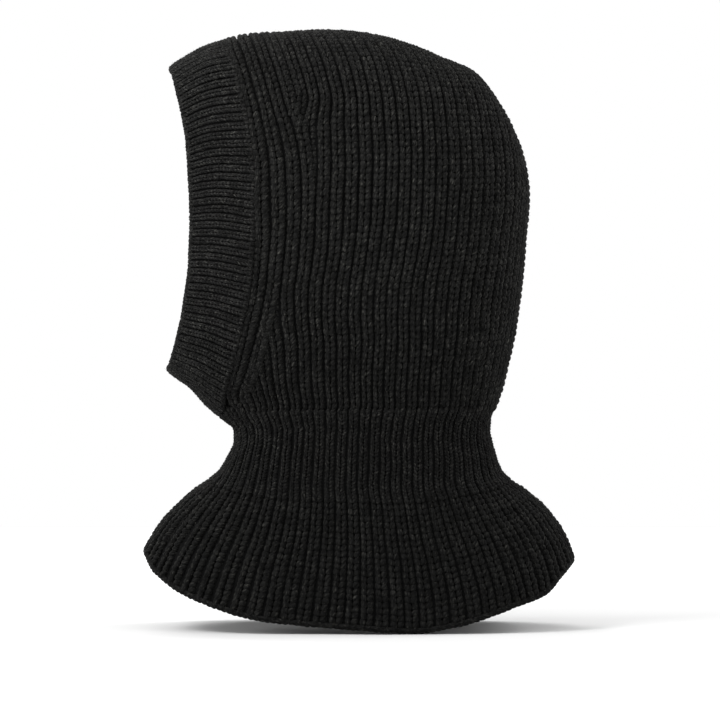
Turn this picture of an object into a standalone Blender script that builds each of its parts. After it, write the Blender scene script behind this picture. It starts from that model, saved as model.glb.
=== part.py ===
"""Knitted balaclava: a hollow hood with a ribbed face band, a tight neck and a flared bib.

Millimetres in the constants below, metres in Blender. +Z is up, the face looks along -Y and
the wearer's left and right are mirrored about X = 0. Heights in the constants are measured
from the lowest point of the hem; the model is then moved so that its origin is the point
inside the crown where the wearer's head holds it up.
"""
import math

import bpy
import numpy as np

MM = 0.001
COLLECTION = "balaclava"

# Origin: inner face of the crown on the middle plane, as (y, z) in the constants' own units.
HEAD_CONTACT = (-25.0, 382.0)

# Cloth.
KNIT_THICKNESS = 4.6
BAND_THICKNESS = 4.0
GAP = 0.4              # between two pieces that touch
CHAIN_RADIUS = 1.2     # the linking chains that close the seams
CHAIN_DEPTH = 1.9      # how far a chain's middle lies under the cloth's outer face
SEAM_HALF = CHAIN_RADIUS + GAP
EDGE_RADIUS = 2.0      # the bound-off edges of the face band and the hem
EDGE_WIDTH = 2 * EDGE_RADIUS + GAP

# Head: one rounded body. Above HEAD_MIDDLE its side view is a closed outline round a centre,
# below it the cross-sections are level.
ROUNDNESS = 2.7        # exponent of the super-ellipse sections
HALF_WIDTH = 83.0
HEAD_MIDDLE = 262.0
UNFOLD_ASPECT = 1.5    # typical ratio of depth to half width, for spacing along a section

# Side-view outline (y, z) from the back of the head over the crown to the open face.
CROWN = [(110, 262), (107.3, 303), (100.8, 322), (91, 340.6), (78, 358), (52, 371.2), (0, 386),
         (-45.5, 387.4), (-86, 382.2), (-125.5, 361.4), (-144, 328), (-150, 262)]
# Level sections of the lower head: (z, y) of the back and of the front, (z, x) of the side.
NAPE = [(95, 96), (101.4, 93), (114.4, 88.4), (127.4, 85.2), (134, 85.4), (147, 90.4),
        (166.4, 96.2), (192.4, 102.7), (218.4, 106.6), (262, 110)]
THROAT = [(95, -100), (101.4, -93), (114.4, -85.2), (121, -82.6), (127.4, -82.5), (131, -86),
          (135.2, -92.3), (153.4, -110.5), (166.4, -126.5), (195, -142), (262, -150)]
CHEEK = [(95, 65), (114, 61), (127, 60.5), (141, 62.5), (170, 69.5), (200, 76.5), (235, 82),
         (262, HALF_WIDTH)]

# Side-view lines on the head (y, z), from the top to the chin.
FACE_EDGE = [(-125.5, 361.4), (-123.1, 359), (-120.6, 350.5), (-115.1, 328.9),
             (-111.8, 309.4), (-109.6, 270), (-110.6, 232), (-115.7, 198.9), (-119.6, 182),
             (-122.3, 170.5), (-124, 167), (-126.5, 166.4)]
BAND_SEAM = [(-88, 381.7), (-87, 378.9), (-84.8, 371), (-78.7, 352), (-72.8, 328), (-68.1, 287.3),
             (-67.9, 260.7), (-70.4, 222.6), (-78.5, 184.6), (-87.6, 154.1), (-92, 140.5)]
CROWN_SEAM_END = (107.2, 303.5)   # where the crown seam runs out at the back of the head

# Neck and bib: rings from the stitch change under the head (0) to the hem (1).
RING_FRONT = [(-90.5, 134.2), (-83.2, 127.4), (-82.6, 121), (-85.2, 114.4), (-93, 101.4),
              (-109.9, 88.4), (-129.4, 68.9), (-141.7, 49.4)]
RING_BACK = [(88, 142), (85.2, 133.9), (85.2, 127.4), (88.4, 114.4), (93, 101.4), (109.2, 88.4),
             (123.5, 75.4), (135.9, 55.9), (140.4, 42.9)]
RING_SIDE = [(62.5, 140.5), (60.5, 127), (61, 114), (63.5, 98), (68, 74), (74, 38), (79, 0)]
NECK_SHARE = 0.4       # how much of the way down the tight neck rib reaches
CORNER_RISE = 0.03     # share of the hood's lower edge over which its front corner rises
# Height of the hem across its side view, from the front (-1) to the back (1).
HEM_LINE = [(-1, 49.4), (-0.94, 36.4), (-0.73, 19.5), (-0.46, 8), (-0.04, 2.5), (0.24, 0),
            (0.44, 3.9), (0.72, 16.3), (0.86, 23.5), (0.94, 34), (1, 42.9)]

# Mesh steps, for one side of the object.
HOOD_COLUMNS, HOOD_ROWS = 16, 14
BAND_COLUMNS, BAND_ROWS = 26, 3
RING_COLUMNS, NECK_ROWS, BIB_ROWS = 26, 4, 5
CROWN_STEPS, CHIN_STEPS, FRONT_STEPS = 30, 7, 16
LINE_STEPS = 160       # fine steps used to measure a line
SECTION_STEPS = 2000   # steps of the table of a rounded section
PATH_STEPS = 40        # fine steps between two points of a path
RIM_STEPS = 12         # points taken from the outline for a line on the middle plane
HOOD_GIRTH, BAND_GIRTH, NECK_GIRTH = 230.0, 300.0, 245.0   # lengths round one side
BESIDE = np.array([1.0, 0, 0])   # sideways from a seam on the middle plane

MATERIALS = {
    "main_knit": ((0.011, 0.011, 0.010), 0.95),
    "band_knit": ((0.009, 0.009, 0.0085), 0.95),
    "linking_yarn": ((0.007, 0.007, 0.0065), 0.9),
}


# ---------------------------------------------------------------- curves

def smooth(points):
    """Function through (x, value) points with rising x that doesn't overshoot them."""
    x, y = np.array(points, float).T
    step = np.diff(x)
    slope = np.diff(y) / step
    tangent = np.empty(len(x))
    tangent[0], tangent[-1] = slope[0], slope[-1]
    near, far = 2 * step[1:] + step[:-1], step[1:] + 2 * step[:-1]
    turns = slope[:-1] * slope[1:] <= 0
    safe_a = np.where(turns, 1, slope[:-1])
    safe_b = np.where(turns, 1, slope[1:])
    tangent[1:-1] = np.where(turns, 0, (near + far) / (near / safe_a + far / safe_b))

    def value(at):
        at = np.clip(at, x[0], x[-1])
        i = np.clip(np.searchsorted(x, at, side="right") - 1, 0, len(x) - 2)
        t = (at - x[i]) / step[i]
        rise = y[i + 1] - y[i]
        bend = tangent[i] * (1 - t) - tangent[i + 1] * t
        return y[i] + rise * t * t * (3 - 2 * t) + step[i] * bend * t * (1 - t)

    return value


def path(points):
    """Curve through points: a function of 0 to 1, even along its length."""
    points = np.array(points, float)
    chord = np.concatenate([[0], np.cumsum(np.linalg.norm(np.diff(points, axis=0), axis=1))])
    axes = [smooth(np.column_stack([chord, points[:, k]])) for k in range(points.shape[1])]
    fine = np.linspace(0, chord[-1], PATH_STEPS * len(points))
    line = np.column_stack([axis(fine) for axis in axes])
    along = np.concatenate([[0], np.cumsum(np.linalg.norm(np.diff(line, axis=0), axis=1))])

    def at(share):
        where = np.asarray(share) * along[-1]
        return np.stack([np.interp(where, along, line[:, k]) for k in range(line.shape[1])], -1)

    return at


def even(line, count, start=0.0, end=0.0):
    """Evenly spaced points along a 3-D line, leaving out a length at each end."""
    along = np.concatenate([[0], np.cumsum(np.linalg.norm(np.diff(line, axis=0), axis=1))])
    where = np.linspace(start, along[-1] - end, count)
    return np.column_stack([np.interp(where, along, line[:, k]) for k in range(3)])


# ---------------------------------------------------------------- the head's surface

def section_table():
    """Share of the depth (rho) against share of the length (tau) of a rounded section."""
    angle = np.linspace(0, math.pi / 2, SECTION_STEPS)
    rho = np.sin(angle) ** (2 / ROUNDNESS)
    out = np.cos(angle) ** (2 / ROUNDNESS)
    steps = np.hypot(UNFOLD_ASPECT * np.diff(rho), np.diff(out))
    tau = np.concatenate([[0], np.cumsum(steps)])
    return rho, tau / tau[-1]


RHO, TAU = section_table()
CENTRE_Y = (CROWN[0][0] + CROWN[-1][0]) / 2
crown_radius = smooth([
    (math.atan2(z - HEAD_MIDDLE, y - CENTRE_Y), math.hypot(y - CENTRE_Y, z - HEAD_MIDDLE))
    for y, z in CROWN
])
nape, throat, cheek = smooth(NAPE), smooth(THROAT), smooth(CHEEK)


def bulge(rho):
    """Half width of a section, as a share, at a share of its depth."""
    return (1 - np.clip(rho, 0, 1) ** ROUNDNESS) ** (1 / ROUNDNESS)


def head_frame(y, z):
    """Centre, reach and half width of the section that holds a side-view point."""
    high = z > HEAD_MIDDLE
    angle = np.arctan2(np.maximum(z - HEAD_MIDDLE, 0), y - CENTRE_Y)
    middle = np.where(high, CENTRE_Y, (nape(z) + throat(z)) / 2)
    reach = np.where(high, crown_radius(angle), (nape(z) - throat(z)) / 2)
    level = np.where(high, HEAD_MIDDLE, z)
    width = np.where(high, HALF_WIDTH, cheek(z))
    return middle, level, reach, width


def unfold(points):
    """Side-view points (y, z) laid out so that spacing is even over the rounded surface."""
    y, z = np.asarray(points, float).T
    middle, level, reach, _ = head_frame(y, z)
    rho = np.hypot(y - middle, z - level) / reach
    scale = np.interp(rho, RHO, TAU) / np.maximum(rho, 1e-9)
    return np.column_stack([middle + (y - middle) * scale, level + (z - level) * scale])


def head_surface(points):
    """3-D points on the +X side of the head for unfolded points."""
    y, z = points[..., 0], points[..., 1]
    middle, level, reach, width = head_frame(y, z)
    tau = np.hypot(y - middle, z - level) / reach
    rho = np.interp(tau, TAU, RHO)
    scale = rho / np.maximum(tau, 1e-9)
    return np.stack(
        [width * bulge(rho), middle + (y - middle) * scale, level + (z - level) * scale], -1)


# ---------------------------------------------------------------- neck and bib

ring_front, ring_back, ring_side = path(RING_FRONT), path(RING_BACK), path(RING_SIDE)
hem_line = smooth(HEM_LINE)


def ring_surface(turn, down):
    """3-D points of the neck and bib: turn from -1 (front) to 1 (back), down from 0 to 1."""
    turn, down = np.broadcast_arrays(np.asarray(turn, float), np.asarray(down, float))
    front, back, side = ring_front(down), ring_back(down), ring_side(down)
    rho = np.sign(turn) * np.interp(np.abs(turn), TAU, RHO)
    middle, reach = (front[..., 0] + back[..., 0]) / 2, (back[..., 0] - front[..., 0]) / 2
    end = np.where(turn < 0, front[..., 1], back[..., 1])
    rise = hem_line(rho) / np.where(turn < 0, HEM_LINE[0][1], HEM_LINE[-1][1])
    z = side[..., 1] + (end - side[..., 1]) * rise
    return np.stack([side[..., 0] * bulge(np.abs(rho)), middle + reach * rho, z], -1)


# ---------------------------------------------------------------- lines on the surface

face_edge = path(unfold(FACE_EDGE))


def neck_line(turn, lift):
    """Unfolded points just above the first ring of the neck."""
    z = ring_surface(turn, 0.0)[..., 2] + lift
    middle, reach = (nape(z) + throat(z)) / 2, (nape(z) - throat(z)) / 2
    return np.stack([middle + reach * turn, z], -1)


def seam_corner():
    """Turn at which the face band's seam meets the neck."""
    y, z = unfold(BAND_SEAM[-1:])[0]
    return (y - (nape(z) + throat(z)) / 2) / ((nape(z) - throat(z)) / 2)


CORNER_TURN = float(seam_corner())
CHIN_LIFT = 2 * SEAM_HALF
chin_turns = np.linspace(CORNER_TURN, -1, CHIN_STEPS)
whole_seam = path(np.vstack([unfold(BAND_SEAM[:-1]), neck_line(chin_turns, CHIN_LIFT)]))
seam_shares = np.linspace(0, 1, SECTION_STEPS)
corner_gaps = np.linalg.norm(whole_seam(seam_shares) - neck_line(CORNER_TURN, CHIN_LIFT), axis=1)
CORNER_SHARE = float(seam_shares[corner_gaps.argmin()])


def side_seam(share):
    """The face band's seam down to the corner where it meets the neck."""
    return whole_seam(share * CORNER_SHARE)


def rim(first, last, steps=LINE_STEPS):
    """The middle plane's outline between two side-view points, above or below HEAD_MIDDLE."""
    if min(first[1], last[1]) < HEAD_MIDDLE:
        z = np.linspace(first[1], last[1], steps)
        return np.column_stack([(throat if first[0] < CENTRE_Y else nape)(z), z])
    ends = [math.atan2(z - HEAD_MIDDLE, y - CENTRE_Y) for y, z in (first, last)]
    angle = np.linspace(*ends, steps)
    radius = crown_radius(angle)
    return np.column_stack(
        [CENTRE_Y + radius * np.cos(angle), HEAD_MIDDLE + radius * np.sin(angle)])


def crown_line(share):
    """Rim of the unfolded head from the face band (0) to the back of the head (1)."""
    line = rim(BAND_SEAM[0], CROWN_SEAM_END)
    length = np.concatenate([[0], np.cumsum(np.hypot(*np.diff(line, axis=0).T))])
    depth = line[:, 0] - line[0, 0]
    spread = length / length[-1] + depth / depth[-1]
    return np.stack([np.interp(share, spread / 2, line[:, k]) for k in range(2)], -1)


back_line = path(np.vstack([
    rim((0, ring_back(0.0)[1] + GAP), CROWN[0], RIM_STEPS),
    rim(CROWN[0], CROWN_SEAM_END, RIM_STEPS)[1:],
]))
band_top = path(rim(FACE_EDGE[0], BAND_SEAM[0], RIM_STEPS))
band_chin = path(rim(FACE_EDGE[-1], whole_seam(1.0), RIM_STEPS))


def patch(left, right, low, high, across, along):
    """Surface lines between four meeting edges: one line per share across."""
    a, b = np.asarray(across)[:, None, None], np.asarray(along)[None, :, None]
    left, right = left(b[..., 0]), right(b[..., 0])
    low, high = low(a[..., 0]), high(a[..., 0])
    corners = ((1 - a) * (1 - b) * left[:, :1] + a * (1 - b) * right[:, :1]
               + (1 - a) * b * left[:, -1:] + a * b * right[:, -1:])
    return head_surface((1 - a) * left + a * right + (1 - b) * low + b * high - corners)


def hood_base(share):
    """The hood's lower edge, which rises to the chin's seam at the front corner."""
    lift = GAP + (CHIN_LIFT - GAP) * np.exp(-share / CORNER_RISE)
    return neck_line(CORNER_TURN + (1 - CORNER_TURN) * share, lift)


def hood_lines(columns):
    """One line of stitches per share round the hood, from the neck to the crown."""
    return patch(lambda up: side_seam(1 - up), back_line, hood_base, crown_line,
                 columns, np.linspace(0, 1, LINE_STEPS))


def band_lines(shares):
    """One line per rib of the face band, from its outer edge to its seam."""
    return patch(band_top, band_chin, face_edge, whole_seam,
                 shares, np.linspace(0, 1, LINE_STEPS // 4))


# ---------------------------------------------------------------- meshes

def mirrored(grid):
    """Columns of the +X side followed by their mirror images."""
    other = grid[::-1] * np.array([-1, 1, 1])
    joined = np.abs(grid[-1, :, 0]).max() < 1e-6
    return np.vstack([grid, other[1:] if joined else other])


def placed(points):
    """From the constants' units to metres about the origin."""
    shift = np.array([0, HEAD_CONTACT[0], HEAD_CONTACT[1]])
    return (np.asarray(points) - shift) * MM


def material(name):
    colour, roughness = MATERIALS[name]
    made = bpy.data.materials.get(name) or bpy.data.materials.new(name)
    made.use_nodes = True
    shader = made.node_tree.nodes["Principled BSDF"]
    shader.inputs["Base Color"].default_value = (*colour, 1)
    shader.inputs["Roughness"].default_value = roughness
    shader.inputs["Metallic"].default_value = 0
    return made


def cloth(name, grid, thickness, slot, target):
    """A sheet of cloth: its outer face as a grid of points, thickened inwards."""
    columns, rows = grid.shape[:2]
    faces = []
    for i in range(columns - 1):
        for j in range(rows - 1):
            a = i * rows + j
            faces.append((a, a + rows, a + rows + 1, a + 1))
    mesh = bpy.data.meshes.new(name)
    mesh.from_pydata(placed(grid.reshape(-1, 3)).tolist(), [], faces)
    mesh.shade_smooth()
    piece = bpy.data.objects.new(name, mesh)
    solid = piece.modifiers.new("thickness", "SOLIDIFY")
    solid.thickness = thickness * MM
    solid.offset = -1
    solid.use_even_offset = True
    piece.data.materials.append(material(slot))
    target.objects.link(piece)
    return piece


def chain(name, line, radius, slot, target, closed=False):
    """A linking chain or a bound-off edge: a tube along a line."""
    curve = bpy.data.curves.new(name, "CURVE")
    curve.dimensions = "3D"
    curve.bevel_depth = radius * MM
    curve.bevel_resolution = 1
    curve.use_fill_caps = not closed
    spline = curve.splines.new("POLY")
    spline.points.add(len(line) - 1)
    for point, place in zip(spline.points, placed(line)):
        point.co = (*place, 1)
    spline.use_cyclic_u = closed
    piece = bpy.data.objects.new(name, curve)
    piece.data.materials.append(material(slot))
    target.objects.link(piece)
    return piece


def sunk(line, beside, depth):
    """A line moved inwards from the cloth's face, which also holds the line beside it."""
    along = np.gradient(line, axis=0)
    normal = np.cross(along, beside - line)
    normal /= np.linalg.norm(normal, axis=1, keepdims=True)
    inside = np.tile([0, CENTRE_Y, HEAD_MIDDLE], (len(line), 1))
    inside[:, 2] = np.minimum(line[:, 2], HEAD_MIDDLE)
    flip = np.sign(((line - inside) * normal).sum(axis=1, keepdims=True))
    return line - normal * flip * depth


# ---------------------------------------------------------------- pieces

def build_hood(target):
    share = SEAM_HALF / HOOD_GIRTH
    columns = np.concatenate([[share], np.linspace(0, 1, HOOD_COLUMNS + 1)[1:-1], [1 - share, 1]])
    grid = np.stack([even(line, HOOD_ROWS + 1, 0, SEAM_HALF) for line in hood_lines(columns)])
    top = grid[:-1, -1]
    top[:, 0] = np.maximum(top[:, 0], SEAM_HALF)
    cloth("hood_body", mirrored(grid), KNIT_THICKNESS, "main_knit", target)

    crown = head_surface(crown_line(np.linspace(0, 1, CROWN_STEPS)))
    crown = even(crown, CROWN_STEPS, 2 * SEAM_HALF, 2 * SEAM_HALF)
    crown[:, 0] = 0
    chain("crown_seam", sunk(crown, crown + BESIDE, CHAIN_DEPTH), CHAIN_RADIUS,
          "linking_yarn", target)


def build_face_band(target):
    shares = np.linspace(0, 1, BAND_COLUMNS + 1)
    shares[-1] = 1 - SEAM_HALF / BAND_GIRTH
    lines = band_lines(shares)
    grid = np.stack([even(line, BAND_ROWS + 1, EDGE_WIDTH, SEAM_HALF) for line in lines])
    ring = mirrored(grid[::-1])[:, ::-1]
    cloth("face_band", ring, BAND_THICKNESS, "band_knit", target)

    lines = band_lines(np.linspace(0, 1, BAND_COLUMNS + 1))
    rows = np.stack([even(line, BAND_ROWS + 1, EDGE_RADIUS) for line in lines], axis=1)
    edge = sunk(rows[0], rows[1], EDGE_RADIUS)
    chain("face_edge_bind_off", loop(edge), EDGE_RADIUS, "band_knit", target, closed=True)

    seam = sunk(rows[-1], rows[-2], CHAIN_DEPTH)
    chain("face_band_seam", loop(seam), CHAIN_RADIUS, "linking_yarn", target, closed=True)

    chin = band_lines(np.array([1.0]))[0]
    chin = even(chin, CHIN_STEPS, EDGE_WIDTH, 2 * SEAM_HALF)
    chin[:, 0] = 0
    chain("chin_seam", sunk(chin, chin + BESIDE, CHAIN_DEPTH), CHAIN_RADIUS,
          "linking_yarn", target)


def loop(half):
    """A closed line from its +X half, whose ends lie on the middle plane."""
    half = half.copy()
    half[[0, -1], 0] = 0
    return np.vstack([half, half[-2:0:-1] * np.array([-1, 1, 1])])


def ring_lines(turns, first, last):
    """Lines down the neck or bib between two shares of its height, on the +X side."""
    down = np.linspace(first, last, LINE_STEPS // 2)
    return ring_surface(turns[:, None], down[None, :])


def ring_grid(rows, first, last, top, bottom):
    """Outer face of the neck or bib, open along the front seam."""
    turns = np.linspace(-1, 1, RING_COLUMNS + 1)
    turns[0] = -1 + 2 * SEAM_HALF / NECK_GIRTH
    lines = ring_lines(turns, first, last)
    grid = np.stack([even(line, rows + 1, top, bottom) for line in lines])
    return mirrored(grid)[:, ::-1]


def build_neck_and_bib(target):
    neck = ring_grid(NECK_ROWS, 0, NECK_SHARE, 0, GAP / 2)
    cloth("neck_rib", neck, KNIT_THICKNESS, "main_knit", target)
    bib = ring_grid(BIB_ROWS, NECK_SHARE, 1, GAP / 2, EDGE_WIDTH)
    cloth("bib_flare", bib, KNIT_THICKNESS, "main_knit", target)

    lines = ring_lines(np.linspace(-1, 1, RING_COLUMNS + 1), NECK_SHARE, 1)
    rows = np.stack([even(line, BIB_ROWS + 1, 0, EDGE_RADIUS) for line in lines], axis=1)
    chain("hem_bind_off", loop(sunk(rows[-1], rows[-2], EDGE_RADIUS)), EDGE_RADIUS,
          "main_knit", target, closed=True)

    front = ring_lines(np.array([-1.0]), 0, 1)[0]
    front = even(front, FRONT_STEPS, SEAM_HALF, EDGE_WIDTH)
    front[:, 0] = 0
    chain("front_seam", sunk(front, front + BESIDE, CHAIN_DEPTH), CHAIN_RADIUS,
          "linking_yarn", target)


def main():
    for item in list(bpy.data.objects):
        bpy.data.objects.remove(item)
    target = bpy.data.collections.new(COLLECTION)
    bpy.context.scene.collection.children.link(target)
    build_hood(target)
    build_face_band(target)
    build_neck_and_bib(target)


main()
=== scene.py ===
"""Knitted balaclava: every stitch of the hood, face band, neck and bib is its own piece of yarn.

The cloth follows the same surfaces as the CAD part. Its shape is written in millimetres, in the
part's own units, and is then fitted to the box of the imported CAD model. A wale (u) is a column of
stitches and a course (v) is a row of them: u counts ribs, and v counts stitches up a rib.
"""

import math

import bpy
import numpy as np
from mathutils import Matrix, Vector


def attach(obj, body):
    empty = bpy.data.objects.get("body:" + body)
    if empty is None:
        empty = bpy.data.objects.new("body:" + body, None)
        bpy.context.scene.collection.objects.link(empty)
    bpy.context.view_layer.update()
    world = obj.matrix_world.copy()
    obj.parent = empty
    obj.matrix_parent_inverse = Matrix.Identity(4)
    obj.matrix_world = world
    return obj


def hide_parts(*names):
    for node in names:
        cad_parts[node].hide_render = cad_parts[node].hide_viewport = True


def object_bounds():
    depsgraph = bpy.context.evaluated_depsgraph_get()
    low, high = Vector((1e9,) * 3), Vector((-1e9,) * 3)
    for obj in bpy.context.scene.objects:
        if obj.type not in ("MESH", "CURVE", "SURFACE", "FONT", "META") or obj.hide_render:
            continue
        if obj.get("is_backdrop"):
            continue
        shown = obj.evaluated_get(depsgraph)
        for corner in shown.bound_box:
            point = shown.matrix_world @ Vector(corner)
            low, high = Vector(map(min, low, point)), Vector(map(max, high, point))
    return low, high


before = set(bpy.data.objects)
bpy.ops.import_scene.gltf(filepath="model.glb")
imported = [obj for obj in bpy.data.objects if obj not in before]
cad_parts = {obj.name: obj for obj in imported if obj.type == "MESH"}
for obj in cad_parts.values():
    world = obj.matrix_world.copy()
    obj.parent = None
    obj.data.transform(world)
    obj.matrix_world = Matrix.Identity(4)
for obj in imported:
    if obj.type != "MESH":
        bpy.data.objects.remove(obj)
CAD_LOW, CAD_HIGH = (np.array(corner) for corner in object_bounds())

# ---- the part's shape

# Box of the CAD model in the units of the constants below (mm, heights from the hem).
BOX_LOW = np.array([-82.98, -140.93, -0.23])
BOX_HIGH = np.array([82.98, 139.89, 388.24])

SEAM_HALF = 1.6
GAP = 0.4
MIRROR = np.array([-1.0, 1, 1])          # to the other side

ROUNDNESS = 2.7
HALF_WIDTH = 83.0
HEAD_MIDDLE = 262.0
UNFOLD_ASPECT = 1.5
CROWN = [(110, 262), (107.3, 303), (100.8, 322), (91, 340.6), (78, 358), (52, 371.2), (0, 386),
         (-45.5, 387.4), (-86, 382.2), (-125.5, 361.4), (-144, 328), (-150, 262)]
NAPE = [(95, 96), (101.4, 93), (114.4, 88.4), (127.4, 85.2), (134, 85.4), (147, 90.4),
        (166.4, 96.2), (192.4, 102.7), (218.4, 106.6), (262, 110)]
THROAT = [(95, -100), (101.4, -93), (114.4, -85.2), (121, -82.6), (127.4, -82.5), (131, -86),
          (135.2, -92.3), (153.4, -110.5), (166.4, -126.5), (195, -142), (262, -150)]
CHEEK = [(95, 65), (114, 61), (127, 60.5), (141, 62.5), (170, 69.5), (200, 76.5), (235, 82),
         (262, HALF_WIDTH)]
FACE_EDGE = [(-125.5, 361.4), (-123.1, 359), (-120.6, 350.5), (-115.1, 328.9),
             (-111.8, 309.4), (-109.6, 270), (-110.6, 232), (-115.9, 198.9), (-120.5, 182),
             (-123.8, 172.2), (-125.3, 168.6), (-126.5, 166.4)]
BAND_SEAM = [(-88, 381.7), (-87, 378.9), (-84.8, 371), (-78.7, 352), (-72.8, 328), (-68.1, 287.3),
             (-67.9, 260.7), (-70.4, 222.6), (-78.5, 184.6), (-87.6, 154.1), (-92, 140.5)]
CROWN_SEAM_END = (107.2, 303.5)
RING_FRONT = [(-90.5, 134.2), (-83.2, 127.4), (-82.6, 121), (-85.2, 114.4), (-93, 101.4),
              (-109.9, 88.4), (-129.4, 68.9), (-141.7, 49.4)]
RING_BACK = [(88, 142), (85.2, 133.9), (85.2, 127.4), (88.4, 114.4), (93, 101.4), (109.2, 88.4),
             (123.5, 75.4), (135.9, 55.9), (140.4, 42.9)]
RING_SIDE = [(62.5, 140.5), (60.5, 127), (61, 114), (63.5, 98), (68, 74), (74, 38), (79, 0)]
NECK_SHARE = 0.4
CORNER_RISE = 0.03
HEM_LINE = [(-1, 49.4), (-0.94, 36.4), (-0.73, 19.5), (-0.46, 8), (-0.04, 2.5), (0.24, 0),
            (0.44, 3.9), (0.72, 16.3), (0.86, 23.5), (0.94, 34), (1, 42.9)]

# ---- the knitting

HOOD_RIBS = 25.5         # ribs from the band seam to the centre back, which is the middle of a rib
LOW_EXTRA, TOP_EXTRA = 3, 2      # more ribs than that, near the neck and near the crown
LOW_EDGE, TOP_EDGE = 2, 4        # ribs beside the band seam that the extra ones run in under
EVEN_COURSE = 34         # course with no extra ribs
RING_RIBS = 33.5         # ribs of the neck and bib, from the front seam to the centre back
BAND_RIBS = 56
HOOD_COURSE = 4.16       # height of a stitch
NECK_COURSES, BIB_COURSES, BAND_COURSES = 25, 21, 19
EDGE_ROUND = 2.4         # radius of the cloth where it turns over at the face edge and the hem
LONGEST_LINE = 330       # of the hood's lines of stitches, from the neck to the crown, at most

# One kind of stitch each. Widths and offsets are shares of a rib's pitch, heights are in mm.
# inner and outer: distance from the rib's middle where a leg starts and ends; reach: its length
# in courses; width: its half width; tall: its half thickness; relief: how far the rib's sides fall.
STITCHES = {
    "hood": dict(inner=0.14, outer=0.28, reach=1.42, width=0.205, tall=1.70, relief=3.0),
    "neck": dict(inner=0.09, outer=0.33, reach=1.70, width=0.150, tall=1.00, relief=2.8),
    "bib": dict(inner=0.14, outer=0.28, reach=1.42, width=0.205, tall=1.65, relief=3.2),
    "band": dict(inner=0.10, outer=0.31, reach=1.70, width=0.180, tall=0.90, relief=1.8),
    "chain": dict(inner=0.08, outer=0.34, reach=1.50, width=0.200, tall=0.80, relief=0.3),
}
WIDEST = 1.3             # most that a leg's half width may be of its half thickness
SUNK = 2.5               # how far a rib sinks where it runs in under another one
SWELL = 0.7              # growth of the neck's stitches towards the larger ones above and below

# How uneven the knitting is: spread of the legs' size, place in wales and courses, and height.
SIZE_SPREAD, AWAY_SPREAD, REACH_SPREAD, START_SPREAD, HEIGHT_SPREAD = 0.05, 0.012, 0.02, 0.035, 0.10
RIB_WOBBLE, ROW_DRIFT, ROW_RISE = 0.035, 0.08, 0.25      # slow waves, in wales, courses and mm
HOOD_SWAY, SWAY = 0.7, 0.5                               # soft waves of whole panels
FLUTE_RATE, FLUTE_PHASE, FLUTE_DEPTH = 0.78, 0.6, 1.6    # folds of the bib, by rib
YARN_TWIST = 0.42        # radians for each mm
YARN_LENGTH = 400        # mm of yarn, either way, that each leg's place in the streaks is from
SEED = 20


# ---- curves, as in the part

def distances(line):
    """Distance along a line of points to each of them."""
    return np.concatenate([[0], np.cumsum(np.linalg.norm(np.diff(line, axis=0), axis=1))])


def smooth(points):
    """Function through (x, value) points with rising x that doesn't overshoot them."""
    x, y = np.array(points, float).T
    step = np.diff(x)
    slope = np.diff(y) / step
    tangent = np.empty(len(x))
    tangent[0], tangent[-1] = slope[0], slope[-1]
    near, far = 2 * step[1:] + step[:-1], step[1:] + 2 * step[:-1]
    turns = slope[:-1] * slope[1:] <= 0
    safe_a = np.where(turns, 1, slope[:-1])
    safe_b = np.where(turns, 1, slope[1:])
    tangent[1:-1] = np.where(turns, 0, (near + far) / (near / safe_a + far / safe_b))

    def value(at):
        at = np.clip(at, x[0], x[-1])
        i = np.clip(np.searchsorted(x, at, side="right") - 1, 0, len(x) - 2)
        t = (at - x[i]) / step[i]
        rise = y[i + 1] - y[i]
        bend = tangent[i] * (1 - t) - tangent[i + 1] * t
        return y[i] + rise * t * t * (3 - 2 * t) + step[i] * bend * t * (1 - t)

    return value


def path(points):
    """Curve through points: a function of 0 to 1, even along its length."""
    points = np.array(points, float)
    chord = distances(points)
    axes = [smooth(np.column_stack([chord, points[:, k]])) for k in range(points.shape[1])]
    fine = np.linspace(0, chord[-1], 40 * len(points))
    line = np.column_stack([axis(fine) for axis in axes])
    along = distances(line)

    def at(share):
        where = np.asarray(share) * along[-1]
        return np.stack([np.interp(where, along, line[:, k]) for k in range(line.shape[1])], -1)

    return at


def section_table():
    """Share of the depth (rho) against share of the length (tau) of a rounded section."""
    angle = np.linspace(0, math.pi / 2, 2000)
    rho = np.sin(angle) ** (2 / ROUNDNESS)
    out = np.cos(angle) ** (2 / ROUNDNESS)
    steps = np.hypot(UNFOLD_ASPECT * np.diff(rho), np.diff(out))
    tau = np.concatenate([[0], np.cumsum(steps)])
    return rho, tau / tau[-1]


RHO, TAU = section_table()
CENTRE_Y = (CROWN[0][0] + CROWN[-1][0]) / 2
crown_radius = smooth([
    (math.atan2(z - HEAD_MIDDLE, y - CENTRE_Y), math.hypot(y - CENTRE_Y, z - HEAD_MIDDLE))
    for y, z in CROWN
])
nape, throat, cheek = smooth(NAPE), smooth(THROAT), smooth(CHEEK)
ring_front, ring_back, ring_side = path(RING_FRONT), path(RING_BACK), path(RING_SIDE)
hem_line = smooth(HEM_LINE)


def bulge(rho):
    """Half width of a section, as a share, at a share of its depth."""
    return (1 - np.clip(rho, 0, 1) ** ROUNDNESS) ** (1 / ROUNDNESS)


def head_frame(y, z):
    """Centre, reach and half width of the section that holds a side-view point."""
    high = z > HEAD_MIDDLE
    angle = np.arctan2(np.maximum(z - HEAD_MIDDLE, 0), y - CENTRE_Y)
    middle = np.where(high, CENTRE_Y, (nape(z) + throat(z)) / 2)
    reach = np.where(high, crown_radius(angle), (nape(z) - throat(z)) / 2)
    level = np.where(high, HEAD_MIDDLE, z)
    width = np.where(high, HALF_WIDTH, cheek(z))
    return middle, level, reach, width


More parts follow.
